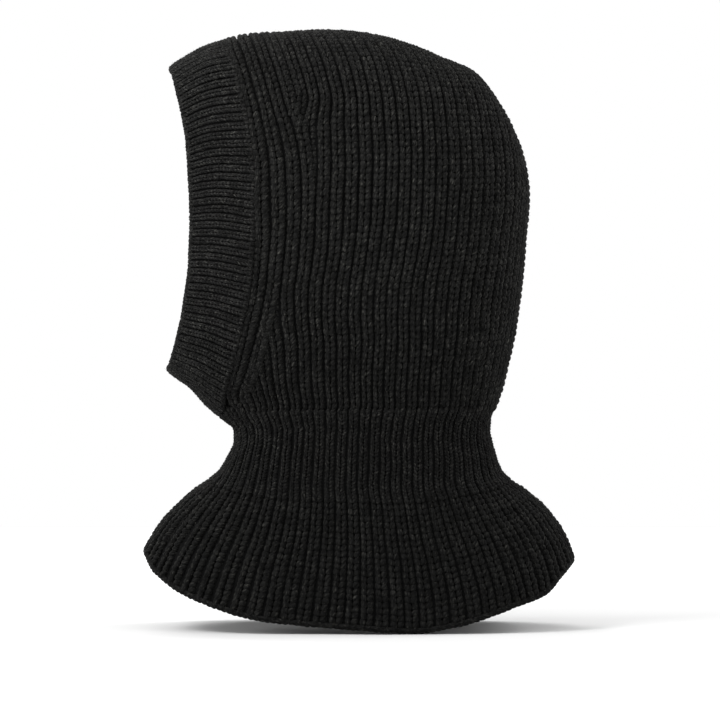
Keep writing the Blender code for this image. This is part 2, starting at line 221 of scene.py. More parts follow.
def unfold(points):
    """Side-view points (y, z) laid out so that spacing is even over the rounded surface."""
    y, z = np.asarray(points, float).T
    middle, level, reach, _ = head_frame(y, z)
    rho = np.hypot(y - middle, z - level) / reach
    scale = np.interp(rho, RHO, TAU) / np.maximum(rho, 1e-9)
    return np.column_stack([middle + (y - middle) * scale, level + (z - level) * scale])


def head_surface(points):
    """3-D points on the +X side of the head for unfolded points."""
    y, z = points[..., 0], points[..., 1]
    middle, level, reach, width = head_frame(y, z)
    tau = np.hypot(y - middle, z - level) / reach
    rho = np.interp(tau, TAU, RHO)
    scale = rho / np.maximum(tau, 1e-9)
    return np.stack(
        [width * bulge(rho), middle + (y - middle) * scale, level + (z - level) * scale], -1)


def ring_surface(turn, down):
    """3-D points of the neck and bib: turn from -1 (front) to 1 (back), down from 0 to 1."""
    turn, down = np.broadcast_arrays(np.asarray(turn, float), np.asarray(down, float))
    front, back, side = ring_front(down), ring_back(down), ring_side(down)
    rho = np.sign(turn) * np.interp(np.abs(turn), TAU, RHO)
    middle, reach = (front[..., 0] + back[..., 0]) / 2, (back[..., 0] - front[..., 0]) / 2
    end = np.where(turn < 0, front[..., 1], back[..., 1])
    rise = hem_line(rho) / np.where(turn < 0, HEM_LINE[0][1], HEM_LINE[-1][1])
    z = side[..., 1] + (end - side[..., 1]) * rise
    return np.stack([side[..., 0] * bulge(np.abs(rho)), middle + reach * rho, z], -1)


face_edge = path(unfold(FACE_EDGE))


def neck_line(turn, lift):
    """Unfolded points just above the first ring of the neck."""
    z = ring_surface(turn, 0.0)[..., 2] + lift
    middle, reach = (nape(z) + throat(z)) / 2, (nape(z) - throat(z)) / 2
    return np.stack([middle + reach * turn, z], -1)


def seam_corner():
    """Turn at which the face band's seam meets the neck."""
    y, z = unfold(BAND_SEAM[-1:])[0]
    return (y - (nape(z) + throat(z)) / 2) / ((nape(z) - throat(z)) / 2)


CORNER_TURN = float(seam_corner())
CHIN_LIFT = 2 * SEAM_HALF
chin_turns = np.linspace(CORNER_TURN, -1, 7)
whole_seam = path(np.vstack([unfold(BAND_SEAM[:-1]), neck_line(chin_turns, CHIN_LIFT)]))
seam_shares = np.linspace(0, 1, 2000)
CORNER_SHARE = float(seam_shares[np.linalg.norm(
    whole_seam(seam_shares) - neck_line(CORNER_TURN, CHIN_LIFT), axis=1).argmin()])


def side_seam(share):
    """The face band's seam down to the corner where it meets the neck."""
    return whole_seam(share * CORNER_SHARE)


# Width of the band's ribs at each height.
band_pitch = smooth([(150, 6.2), (195, 5.5), (215, 5.15), (300, 5.2), (325, 5.7), (350, 6.3)])

# Share along the band's seam that each share along its outer edge is knitted to.
seam_share = smooth([(0, 0), (0.2, 0.186), (0.5, 0.482), (0.75, 0.721), (0.88, 0.857), (1, 1)])


def rim(first, last, steps=160):
    """The middle plane's outline between two side-view points, above or below HEAD_MIDDLE."""
    if min(first[1], last[1]) < HEAD_MIDDLE:
        z = np.linspace(first[1], last[1], steps)
        return np.column_stack([(throat if first[0] < CENTRE_Y else nape)(z), z])
    ends = [math.atan2(z - HEAD_MIDDLE, y - CENTRE_Y) for y, z in (first, last)]
    angle = np.linspace(*ends, steps)
    radius = crown_radius(angle)
    return np.column_stack(
        [CENTRE_Y + radius * np.cos(angle), HEAD_MIDDLE + radius * np.sin(angle)])


def crown_line(share):
    """Rim of the unfolded head from the face band (0) to the back of the head (1)."""
    line = rim(BAND_SEAM[0], CROWN_SEAM_END)
    length = distances(line)
    depth = line[:, 0] - line[0, 0]
    so_far = (length / length[-1] + depth / depth[-1]) / 2
    return np.stack([np.interp(share, so_far, line[:, k]) for k in range(2)], -1)


back_line = path(np.vstack([
    rim((0, ring_back(0.0)[1] + GAP), CROWN[0], 12), rim(CROWN[0], CROWN_SEAM_END, 12)[1:]]))
band_top = path(rim(FACE_EDGE[0], BAND_SEAM[0], 12))
band_chin = path(rim(FACE_EDGE[-1], whole_seam(1.0), 12))


def patch(left, right, low, high, across, along):
    """Surface lines between four meeting edges: one line per share across."""
    a, b = np.asarray(across)[:, None, None], np.asarray(along)[None, :, None]
    side, other = left(b[..., 0]), right(b[..., 0])
    corners = ((1 - a) * (1 - b) * side[:, :1] + a * (1 - b) * other[:, :1]
               + (1 - a) * b * side[:, -1:] + a * b * other[:, -1:])
    return head_surface((1 - a) * side + a * other
                        + (1 - b) * low(a[..., 0]) + b * high(a[..., 0]) - corners)


def hood_base(share):
    """The hood's lower edge, which rises to the chin's seam at the front corner."""
    lift = GAP + (CHIN_LIFT - GAP) * np.exp(-share / CORNER_RISE)
    return neck_line(CORNER_TURN + (1 - CORNER_TURN) * share, lift)


def hood_lines(columns):
    """One line of stitches per share round the hood, from the neck to the crown."""
    return patch(lambda up: side_seam(1 - up), back_line, hood_base, crown_line,
                 columns, np.linspace(0, 1, 160))


def band_lines(shares):
    """Lines across the face band, from its outer edge to its seam."""
    return patch(band_top, band_chin, face_edge, lambda share: whole_seam(seam_share(share)),
                 shares, np.linspace(0, 1, 60))


def band_shares(count):
    """Shares of the band's length at evenly spaced ribs, which are widest at its ends."""
    shares = np.linspace(0, 1, 400)
    middle = band_lines(shares)[:, 30]
    steps = np.linalg.norm(np.diff(middle, axis=0), axis=1)
    ribs_so_far = np.concatenate([[0], np.cumsum(steps / band_pitch(middle[1:, 2]))])
    return np.interp(np.linspace(0, ribs_so_far[-1], count), ribs_so_far, shares)


# Place of each rib of the hood, counted in ribs of even width. Those near the band are wider.
wale_place = smooth([(0, 0), (2, 2.26), (6, 6.3), (9.5, 9.5), (14, 13.43), (19, 18.15),
                     (HOOD_RIBS, HOOD_RIBS)])

# How the ribs of the ring leave an even spacing on the way down: moved back under the chin, and
# fanned out towards the front and the back of the bib.
chin_shift = smooth([(0, 0.055), (0.15, 0.022), (0.3, 0.024), (0.45, 0.035), (1, 0.035)])
fan = smooth([(0, 0), (0.15, 0), (0.4, 0.10), (0.6, 0.16), (1, 0.16)])


def ring_lines(wales, low, high):
    """Lines up the neck or bib between two shares of its height, one per wale position."""
    even = (2 * wales / RING_RIBS - 1)[:, None]
    down = np.linspace(low, high, 90)[None, :]
    turn = even + (chin_shift(down) - fan(down) * even) * (1 - even ** 2)
    return ring_surface(turn, down)


# ---- panels of cloth

def unit(vectors):
    """Vectors of length 1, along the last axis."""
    return vectors / np.maximum(np.linalg.norm(vectors, axis=-1, keepdims=True), 1e-9)


def waves(rng, count, short, long):
    """A smooth random field of two variables, about -1 to 1, with that range of wavelengths."""
    turn = rng.uniform(0, math.pi, count)
    rate = 2 * math.pi / rng.uniform(short, long, count)
    phase = rng.uniform(0, 2 * math.pi, count)
    kx, ky = rate * np.cos(turn), rate * np.sin(turn)

    def value(x, y):
        total = np.zeros(np.broadcast(x, y).shape)
        for a, b, c in zip(kx, ky, phase):
            total += np.sin(a * x + b * y + c)
        return total / math.sqrt(count) / 1.4

    return value


class Panel:
    """The face of a knitted panel: points and outward normals by wale (u) and course (v)."""

    def __init__(self, points, normals, du, v0, dv, limit):
        self.points, self.normals = points, normals
        self.du, self.v0, self.dv = du, v0, dv
        self.limit = limit                      # last course of each column
        self.last = du * (len(points) - 1)      # last wale
        self.pitch = np.linalg.norm(np.gradient(points, axis=0), axis=-1) / du

    def pick(self, grid, u, v):
        """Values of a grid between its points."""
        x, y = u / self.du, (v - self.v0) / self.dv
        i = np.clip(np.floor(x).astype(int), 0, grid.shape[0] - 2)
        j = np.clip(np.floor(y).astype(int), 0, grid.shape[1] - 2)
        a, b = x - i, y - j
        if grid.ndim == 3:
            a, b = a[..., None], b[..., None]
        return (grid[i, j] * (1 - a) * (1 - b) + grid[i + 1, j] * a * (1 - b)
                + grid[i, j + 1] * (1 - a) * b + grid[i + 1, j + 1] * a * b)

    def end(self, u):
        """Last course at a wale."""
        return np.interp(u, self.du * np.arange(len(self.limit)), self.limit)

    def like(self, points, normals):
        """A panel with the same wales and courses and another face."""
        return Panel(points, normals, self.du, self.v0, self.dv, self.limit)

    def flipped(self):
        """The same panel on the other side of the object."""
        return self.like(self.points * MIRROR, self.normals * MIRROR)

    def turned(self, thickness):
        """The inner face of the same cloth."""
        return self.like(self.points - self.normals * thickness, -self.normals)


def laid(lines, spacing, start, rows):
    """Points along each line, going on straight past its end."""
    made = np.empty((len(lines), rows, 3))
    lengths = np.empty(len(lines))
    for i, line in enumerate(lines):
        along = distances(line)
        lengths[i] = along[-1]
        step = spacing if spacing else (along[-1] - start) / (rows - 1)
        where = start + step * np.arange(rows)
        inside = np.clip(where, 0, along[-1])
        made[i] = np.column_stack([np.interp(inside, along, line[:, k]) for k in range(3)])
        made[i] += unit(line[-1] - line[-3]) * (where - inside)[:, None]
    return made, lengths


def from_inside(points):
    """Vectors to points from the object's upright middle line, which ends at HEAD_MIDDLE."""
    inside = np.array([0, CENTRE_Y, HEAD_MIDDLE]) * np.ones_like(points)
    inside[..., 2] = np.minimum(points[..., 2], HEAD_MIDDLE)
    return points - inside


def facing_out(points):
    """Outward unit normals of a grid of points."""
    normals = unit(np.cross(np.gradient(points, axis=0), np.gradient(points, axis=1)))
    return normals * np.sign((from_inside(points) * normals).sum())


def swayed(points, normals, amount, rng):
    """The same face with soft waves in it, 60 to 150 mm long."""
    field = waves(rng, 7, 60, 150)
    rise = field(points[..., 1], points[..., 2]) * amount
    return points + normals * rise[..., None]


def row_step(points):
    """Mean distance from a panel's first row of points to its second."""
    return float(np.linalg.norm(points[:, 1] - points[:, 0], axis=1).mean())


def turned_over(points, normals, rows, step):
    """A panel's face, carried round its first row's edge and onto the back."""
    towards = unit(points[:, 0] - points[:, 1])
    centre = points[:, 0] - normals[:, 0] * EDGE_ROUND
    angle = (np.arange(rows, 0, -1) * step / EDGE_ROUND)[None, :, None]
    out = np.sin(angle) * towards[:, None] + np.cos(angle) * normals[:, :1]
    return (np.concatenate([centre[:, None] + out * EDGE_ROUND, points], axis=1),
            np.concatenate([out, normals], axis=1))


def hood_panel(rng):
    """The hood, with courses of one height from the neck up."""
    du, dv = 0.25, 0.5
    wales = np.arange(0, HOOD_RIBS + du / 2, du)
    lines = hood_lines(wale_place(wales) / HOOD_RIBS)
    rows = int(LONGEST_LINE / HOOD_COURSE / dv)
    points, lengths = laid(lines, HOOD_COURSE * dv, 0, rows)

    # The first few courses of the front half are tucked in to the width of the neck.
    front, back = RING_FRONT[0][0], RING_BACK[0][0]
    rho = (points[:, :1, 1] * 2 - front - back) / (back - front)
    most_in, most_out, front_half, fading = -6, 2, 40, 4
    tuck = np.clip(RING_SIDE[0][0] * bulge(np.abs(rho)) - points[:, :1, 0], most_in, most_out)
    tuck *= np.clip(-points[:, :1, 1] / front_half, 0, 1)
    points[..., 0] += tuck * np.exp(-np.arange(rows) * dv / fading)
    points = swayed(points, facing_out(points), HOOD_SWAY, rng)
    return Panel(points, facing_out(points), du, 0.0, dv, lengths / HOOD_COURSE)


def ring_panel(rng, low, high, courses, start, turns, under_chin=0.0):
    """The neck or the bib: courses start mm from its edge, with that many rows turned over it.

    under_chin is how many courses more the ribs in front of the hood have.
    """
    du, dv = 0.25, 0.5
    wales = np.arange(0, RING_RIBS + du / 2, du)
    rows = int(courses / dv) + 1
    points, _ = laid(ring_lines(wales, low, high), None, start, rows)
    depth = np.linspace(low, high, rows)[None, :]
    flutes = (np.sin(wales[:, None] * FLUTE_RATE + FLUTE_PHASE) * FLUTE_DEPTH
              * np.clip(depth - NECK_SHARE, 0, 1))
    normals = facing_out(points)
    points = swayed(points, normals, SWAY, rng) + normals * flutes[..., None]
    normals = facing_out(points)
    if turns:
        points, normals = turned_over(points, normals, turns, row_step(points))
    corner = (CORNER_TURN + 1) / 2 * RING_RIBS
    limit = courses + under_chin * np.clip(corner + 1 - wales, 0, 1)
    return Panel(points, normals, du, -turns * dv, dv, limit)


def band_panel(rng):
    """The face band, with its outer edge turned over and more courses below the chin."""
    du, dv = 0.5, 0.5
    turns, under_chin = 4, 1.5
    share = band_shares(int(BAND_RIBS / du) + 1)
    rows = int(BAND_COURSES / dv) + 1
    points, _ = laid(band_lines(share), None, EDGE_ROUND, rows)
    points = swayed(points, facing_out(points), SWAY, rng)
    points, normals = turned_over(points, facing_out(points), turns, row_step(points))
    below = np.clip((seam_share(share) - CORNER_SHARE) / (1 - CORNER_SHARE), 0, 1)
    return Panel(points, normals, du, -turns * dv, dv, BAND_COURSES + under_chin * below)


# ---- stitches

# How much the ribs beside the band seam part from it, just above the neck, by course.
leaving = smooth([(0, 1), (2, 0.85), (4, 0.4), (6, 0), (7, 0)])
# How much of the way each rib of the hood has still to go, from the neck up, to its even place.
spread = smooth([(0, 1), (3.8, 0.72), (7.3, 0.50), (12.5, 0.29), (17, 0.10), (22, 0), (23, 0)])
# Near the crown: width of the ribs beside the band seam, and how far the others are moved back.
squeeze = smooth([(30, 1), (36, 1), (41, 0.97), (46, 0.92), (51.5, 0.79), (58, 0.76)])
moved = smooth([(36, 0), (46, 0.20), (51.5, 0.70), (58, 0.66)])
MOVED_RIBS = 2.6         # ribs over which that move fades out towards the back
CROWN_CROWDING = 0.36    # how much narrower it makes the ribs, for each rib it moves them
NECK_CROWDING = 0.18     # how much narrower the ribs are where the hood meets the neck
PARTED = 5               # course above which the ribs beside the seam lie along it
CROWN_COURSE = 60.0      # a course past the end of every rib

# Panel wale of the hood where each wale of the neck meets it.
neck_wales = np.arange(0, RING_RIBS + 0.1, 0.25)
neck_top = ring_lines(neck_wales, 0.0, 0.1)[:, 0, 1]
hood_wales = np.arange(0, HOOD_RIBS + 0.05, 0.1)
hood_base_line = hood_lines(wale_place(hood_wales) / HOOD_RIBS)[:, 0, 1]
neck_top[neck_top > 0] *= hood_base_line[-1] / neck_top[-1]
met = np.interp(neck_top, hood_base_line, hood_wales)
NECK_PITCH = 7           # width of the neck's ribs in front of the hood, in mm
met += np.minimum(neck_top - hood_base_line[0], 0) / NECK_PITCH

# Ways a rib runs: straight up its panel, or on the hood evenly with those at the back, along the
# band seam, changing from the first to the second half way up, or evenly but only below or above
# the half way course.
PLAIN, EVEN, SEAM_SIDE, CHANGING, LOW_ONLY, TOP_ONLY = range(6)


def ribs(panel, offset):
    """Middle and side of every leg of the ribs whose middles are at whole wales plus offset."""
    middles = np.arange(offset, panel.last + 0.51)
    return [(m, s, PLAIN) for m in middles for s in (-1, 1) if 0 < m + 0.25 * s < panel.last]


def hood_ribs(offset):
    """The same for the hood, counted from the band seam at its middle course.

    One rib more than LOW_EXTRA starts low down, to fill the corner beside the neck.
    """
    shift = offset - 0.5
    runs = [(SEAM_SIDE, (-1.5, -0.5, 0.5, 1.5)), (CHANGING, (2.5, 3.5)),
            (EVEN, np.arange(4.5, HOOD_RIBS + 0.1)),
            (LOW_ONLY, np.arange(1.5, 0.5 - LOW_EXTRA, -1)),
            (TOP_ONLY, np.arange(3.5, 3.5 - TOP_EXTRA, -1))]
    return [(m + shift, s, run) for run, middles in runs for m in middles for s in (-1, 1)
            if m + shift + 0.25 * s < HOOD_RIBS]


def hood_place(x, v, run):
    """Panel wale of a point of the hood's ribs, and the width of the ribs there as a share."""
    def evenly(at):
        low = np.interp(at + RING_RIBS - HOOD_RIBS, neck_wales, met)
        beyond = at - TOP_EDGE
        crown = (np.exp(-np.maximum(beyond, 0) / MOVED_RIBS)
                 - CROWN_CROWDING * np.minimum(beyond, 0))
        return at + (low - at) * spread(v) + crown * moved(v)

    beyond = np.maximum(x - TOP_EDGE, 0)
    even_width = (1 - NECK_CROWDING * spread(v)
                  - CROWN_CROWDING * moved(v) * np.exp(-beyond / MOVED_RIBS))
    away = leaving(v)
    beside = x * squeeze(v) * (1 - away) + evenly(x - LOW_EXTRA) * away
    by_seam = (run == SEAM_SIDE) | ((run == CHANGING) & (v > EVEN_COURSE))
    u = np.where(by_seam, beside, evenly(x))
    width = np.where(by_seam & (v > PARTED), squeeze(v), even_width)
    return np.where(run == PLAIN, x, u), np.where(run == PLAIN, 1.0, width)


def hood_edge(run, v):
    """Panel wale where a rib of this kind runs in under those beside the seam."""
    low = hood_place(LOW_EDGE, v, SEAM_SIDE)[0]
    return np.where(run == LOW_ONLY, low, np.where(run == TOP_ONLY, TOP_EDGE * squeeze(v), -1.0))


def leg_places(panel, reach, wales, first, over):
    """Columns with the rib's middle, the side, the run and the first course of every leg."""
    hidden, seam_room = 0.5, 0.3      # wales that a rib goes on under others, and leaves free
    rows = []
    for m, s, run in wales:
        top, _ = hood_place(m + 0.25 * s, CROWN_COURSE, run)
        stop = float(panel.end(np.clip(top, 0, panel.last))) - reach + over
        v = np.arange(first, stop, 1.0)
        v = v[hood_place(m, v + 1, run)[0] > np.maximum(hood_edge(run, v + 1) - hidden, seam_room)]
        if run in (LOW_ONLY, TOP_ONLY):
            v = v[(v < EVEN_COURSE) == (run == LOW_ONLY)]
        rows.append(np.column_stack([np.full(len(v), m), np.full(len(v), s),
                                     np.full(len(v), run), v]))
    return (x[:, None] for x in np.concatenate(rows).T)


def legs(panel, kind, wales, rings, rng, first=0.0, over=0.4):
    """Centrelines, normals and radii of the legs of all stitches on a panel, in mm.

    first: the course they start at; over: how far they go past the panel's last one.
    """
    form = STITCHES[kind]
    middle, side, run, start = leg_places(panel, form["reach"], wales, first, over)
    n = len(middle)
    t = 0.5 + 1.06 * (np.linspace(0, 1, rings + 2)[None, 1:-1] - 0.5)
    ends = np.abs(2 * t - 1)          # 0 half way along a leg and 1 at its ends
    wobble, drift = waves(rng, 8, 5, 16), waves(rng, 6, 9, 30)
    size = 1 + rng.normal(0, SIZE_SPREAD, (n, 1))

    # Where the leg runs: out from the rib's middle and up the rib.
    lean = t * 0.55 + t * t * (3 - 2 * t) * 0.45
    away = form["inner"] + (form["outer"] - form["inner"]) * lean
    away = away + rng.normal(0, AWAY_SPREAD, (n, 1))
    v = start + form["reach"] * t * (1 + rng.normal(0, REACH_SPREAD, (n, 1)))
    v = v + rng.normal(0, START_SPREAD, (n, 1)) + ROW_DRIFT * drift(middle, start)
    waved = middle + side * away + RIB_WOBBLE * wobble(middle * 3.0, v)
    u, width = hood_place(waved, v, run)
    u = np.clip(u, 0.04, panel.last)

    # How thick it is: full in the middle, with closed ends.
    pitch = panel.pick(panel.pitch, u, v) * width
    plump = (1 - ends ** 2.2) ** 0.5
    if kind == "neck":
        size = size * (1 + SWELL * np.clip(np.abs(2 * v / NECK_COURSES - 1) - 0.5, 0, 0.5))
    tall = form["tall"] * size * plump
    wide = np.minimum(pitch * form["width"], form["tall"] * WIDEST) * size * plump

    # How high it lies: both ends dive under their neighbours, the lower one less.
    dive = ends ** 2 * form["tall"] * np.where(t > 0.5, 1.0, 0.7)
    crest = -form["relief"] * (2 * away) ** 2 + ROW_RISE * drift(start * 1.7, middle * 2.0)
    under = np.clip(1.5 * (hood_edge(run, v) + 0.4 - hood_place(middle, v, run)[0]), 0, 1)
    if kind in ("neck", "bib"):
        under = np.clip(v - panel.end(np.clip(u, 0, panel.last)) + 0.4, 0, 1) * 0.5
    height = crest - form["tall"] - dive - SUNK * under + rng.normal(0, HEIGHT_SPREAD, (n, 1))
    points = panel.pick(panel.points, u, v)
    normals = unit(panel.pick(panel.normals, u, v))
    return points + normals * height[..., None], normals, wide, tall


def tubes(centre, normals, wide, tall, sides, rng):
    """Closed tapered tubes: vertices (n, k, 3), their places in the yarn, and one tube's faces."""
    n, rings = wide.shape
    along = unit(np.gradient(centre, axis=1))
    up = unit(normals - along * (normals * along).sum(-1, keepdims=True))
    across = np.cross(along, up)
    angle = 2 * math.pi * np.arange(sides) / sides
    cos, sin = np.cos(angle)[None, None, :, None], np.sin(angle)[None, None, :, None]
    out = (across[:, :, None] * cos * wide[:, :, None, None]
           + up[:, :, None] * sin * tall[:, :, None, None])
    skin = centre[:, :, None] + out
    tips = np.stack([centre[:, 0] - along[:, 0] * tall[:, 0, None] * 0.5,
                     centre[:, -1] + along[:, -1] * tall[:, -1, None] * 0.5], axis=1)
    vertices = np.concatenate([skin.reshape(n, -1, 3), tips], axis=1)

    length = np.concatenate([np.zeros((n, 1)), np.cumsum(
        np.linalg.norm(np.diff(centre, axis=1), axis=-1), axis=1)], axis=1)
    twist = length * YARN_TWIST + rng.uniform(0, 6.28, (n, 1))
    x = np.cos(angle)[None, None] * wide[..., None]
    y = np.sin(angle)[None, None] * tall[..., None]
    c, s = np.cos(twist)[..., None], np.sin(twist)[..., None]
    yarn = np.stack([x * c - y * s, x * s + y * c, np.broadcast_to(length[..., None], x.shape)], -1)
    ends = np.stack([np.zeros((n, 2)), np.zeros((n, 2)), length[:, [0, -1]]], -1)
    yarn = np.concatenate([yarn.reshape(n, -1, 3), ends], axis=1)
    yarn = yarn + rng.uniform(-YARN_LENGTH, YARN_LENGTH, (n, 1, 3))

    around = [(a, (a + 1) % sides) for a in range(sides)]
    faces = [(k + b, k + a, k + sides + a, k + sides + b)
             for k in range(0, (rings - 1) * sides, sides) for a, b in around]
    low, high, last = rings * sides, rings * sides + 1, (rings - 1) * sides
    for a, b in around:
        faces += [(low, a, b), (high, last + b, last + a)]
    return vertices, yarn, faces


def in_frame(points):
    """From the part's units to metres in the frame."""
    scale = (CAD_HIGH - CAD_LOW) / (BOX_HIGH - BOX_LOW)
    return CAD_LOW + (points - BOX_LOW) * scale


def piece(name, vertices, faces, place_in_yarn, material, slot, stands_for=()):
    """A mesh of many copies of one face list: vertices (n, k, 3), and their places or None."""
    n, k = vertices.shape[:2]
    sizes = np.array([len(f) for f in faces])
    flat = np.concatenate(faces)
    corners = (flat[None] + k * np.arange(n)[:, None]).reshape(-1)
    totals = np.tile(sizes, n)
    mesh = bpy.data.meshes.new(name)
    mesh.vertices.add(n * k)
    mesh.vertices.foreach_set("co", in_frame(vertices.reshape(-1, 3)).astype(np.float32).ravel())
    mesh.loops.add(len(corners))
    mesh.loops.foreach_set("vertex_index", corners.astype(np.int32))
    mesh.polygons.add(len(totals))
    starts = np.concatenate([[0], np.cumsum(totals)[:-1]]).astype(np.int32)
    mesh.polygons.foreach_set("loop_start", starts)
    mesh.update(calc_edges=True)
    mesh.shade_smooth()
    if place_in_yarn is not None:
        data = mesh.attributes.new("yarn", "FLOAT_VECTOR", "POINT").data
        data.foreach_set("vector", place_in_yarn.reshape(-1, 3).astype(np.float32).ravel())
    mesh.materials.append(material)
    made = bpy.data.objects.new(name, mesh)
    bpy.context.scene.collection.objects.link(made)
    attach(made, "root")
    if stands_for:
        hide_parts(*stands_for)
    return made


# ---- materials

HEATHER = (0.36, 0.48, 0.58, 0.74)       # places of the yarn's four colours on its noise
FLECKS = (0.30, 0.70), (0.55, 1.5)       # how much lighter and darker small places are
# The last pair is painted shade: the yarn's colour is darkened towards the hem, where the studio
# light falls off.
PAINTED_SHADE_BY_HEIGHT = (-0.36, -0.13), (0.62, 1.06)   # the same by height in metres, from the hem up


def shaded(name, values):
    """A material and its shader, with those values on its sockets."""
    made = bpy.data.materials.new(name)
    made.use_nodes = True
    shader = made.node_tree.nodes["Principled BSDF"]
    for key, value in values.items():
        shader.inputs[key].default_value = value
    return made, shader


def plain(name, colour, roughness, specular=0.06):
    """A material of one colour."""
    return shaded(name, {"Base Color": (*colour, 1), "Roughness": roughness,
                         "Specular IOR Level": specular})[0]


def wool(name, dark, middle, light, streak):
    """Heathered wool, with painted shade low down: streaks of lighter fibre along near-black yarn.
    streak: how fine they are.
    """
    made, shader = shaded(name, {
        "Roughness": 0.9, "Specular IOR Level": 0.06, "Sheen Weight": 0.02,
        "Sheen Roughness": 0.4, "Sheen Tint": (0.9, 0.89, 0.84, 1)})
    tree = made.node_tree
    link = tree.links.new

    def node(kind, **settings):
        new = tree.nodes.new(kind)
        for key, value in settings.items():
            if key in new.inputs:
                new.inputs[key].default_value = value
            else:
                setattr(new, key, value)
        return new

    def stretched(across, along):
        """The yarn's own coordinates, scaled across and along it."""
        new = node("ShaderNodeMapping", Scale=(across, across, along))
        link(yarn.outputs["Vector"], new.inputs["Vector"])
        return new.outputs["Vector"]

    def noise(vector, scale, detail, roughness):
        new = node("ShaderNodeTexNoise", Scale=scale, Detail=detail, Roughness=roughness)
        link(vector, new.inputs["Vector"])
        return new.outputs["Fac"]

    def ranged(value, source, target, **settings):
        """A value taken from one range to another."""
        new = node("ShaderNodeMapRange", **settings)
        for key, at in zip(("From Min", "From Max", "To Min", "To Max"), (*source, *target)):
            new.inputs[key].default_value = at
        link(value, new.inputs["Value"])
        return new.outputs["Result"]

    yarn = node("ShaderNodeAttribute", attribute_name="yarn")
    place = node("ShaderNodeTexCoord").outputs["Object"]
    ramp = node("ShaderNodeValToRGB")
    stops = ramp.color_ramp.elements
    stops[0].position, stops[0].color = HEATHER[0], (*dark, 1)
    stops[1].position, stops[1].color = HEATHER[3], (*light, 1)
    for position, colour in ((HEATHER[1], middle), (HEATHER[2], tuple(2.0 * c for c in middle))):
        stops.new(position).color = (*colour, 1)
    link(noise(stretched(streak, streak * 0.35), 1.0, 3.0, 0.7), ramp.inputs["Fac"])

    # Painted shade: the colour is scaled down towards the hem by height, and scaled by the small
    # flecks.
    height = node("ShaderNodeSeparateXYZ")
    link(place, height.inputs[0])
    both = node("ShaderNodeMath", operation="MULTIPLY")
    link(ranged(noise(place, 120.0, 5.0, 0.75), *FLECKS), both.inputs[0])
    link(ranged(height.outputs["Z"], *PAINTED_SHADE_BY_HEIGHT, interpolation_type="SMOOTHSTEP"), both.inputs[1])
    shade = node("ShaderNodeVectorMath", operation="SCALE")
    link(ramp.outputs["Color"], shade.inputs[0])
    link(both.outputs["Value"], shade.inputs["Scale"])
    link(shade.outputs["Vector"], shader.inputs["Base Color"])

    bump = node("ShaderNodeBump", Strength=0.8, Distance=0.0005)
    link(noise(stretched(streak * 0.9, streak * 0.2), 1.0, 3.0, 0.6), bump.inputs["Height"])
    link(bump.outputs["Normal"], shader.inputs["Normal"])
    return made


# Each yarn is its material and its slot.
MAIN = wool("main_yarn", (0.0021, 0.0021, 0.0021), (0.0064, 0.0064, 0.0062),
            (0.064, 0.063, 0.055), 1.3), "main_knit"
BAND = wool("band_yarn", (0.0026, 0.0026, 0.0026), (0.0088, 0.0088, 0.0086),
            (0.078, 0.077, 0.067), 1.5), "band_knit"
SEAM = wool("linking_yarn", (0.0020, 0.0020, 0.0020), (0.0060, 0.0060, 0.0058),
            (0.040, 0.039, 0.034), 1.5), "linking_yarn"
CORE = plain("cloth_core", (0.003, 0.003, 0.003), 0.95)
FUZZ_DARK = plain("fibre_dark", (0.016, 0.0158, 0.015), 0.8)
FUZZ_LIGHT = plain("fibre_light", (0.12, 0.115, 0.095), 0.8)

# ---- building

rng = np.random.default_rng(SEED)
fuzz_at, fuzz_out, fuzz_along = [], [], []


def stitches(name, panel, kind, offset, detail, yarn, parts=1, fuzz=0, **more):
    """The legs of one panel as pieces. fuzz: how many places on them can get fibres."""
    sides, rings = detail
    wales = hood_ribs(offset) if kind == "hood" else ribs(panel, offset)
    centre, normals, wide, tall = legs(panel, kind, wales, rings, rng, **more)
    vertices, places, faces = tubes(centre, normals, wide, tall, sides, rng)
    if fuzz:
        pick = rng.integers(0, len(centre), fuzz)
        ring = rng.integers(1, rings - 1, fuzz)
        spot = rng.integers(0, sides // 2 + 1, fuzz)
        at = vertices[pick, ring * sides + spot]
        fuzz_at.append(at)
        fuzz_out.append(unit(at - centre[pick, ring]))
        fuzz_along.append(unit(centre[pick, ring + 1] - centre[pick, ring]))
    made = []
    for part, chosen in enumerate(np.array_split(np.arange(len(centre)), parts)):
        label = name if parts == 1 else f"{name}_{part + 1}"
        made.append(piece(label, vertices[chosen], faces, places[chosen], *yarn))
    return made


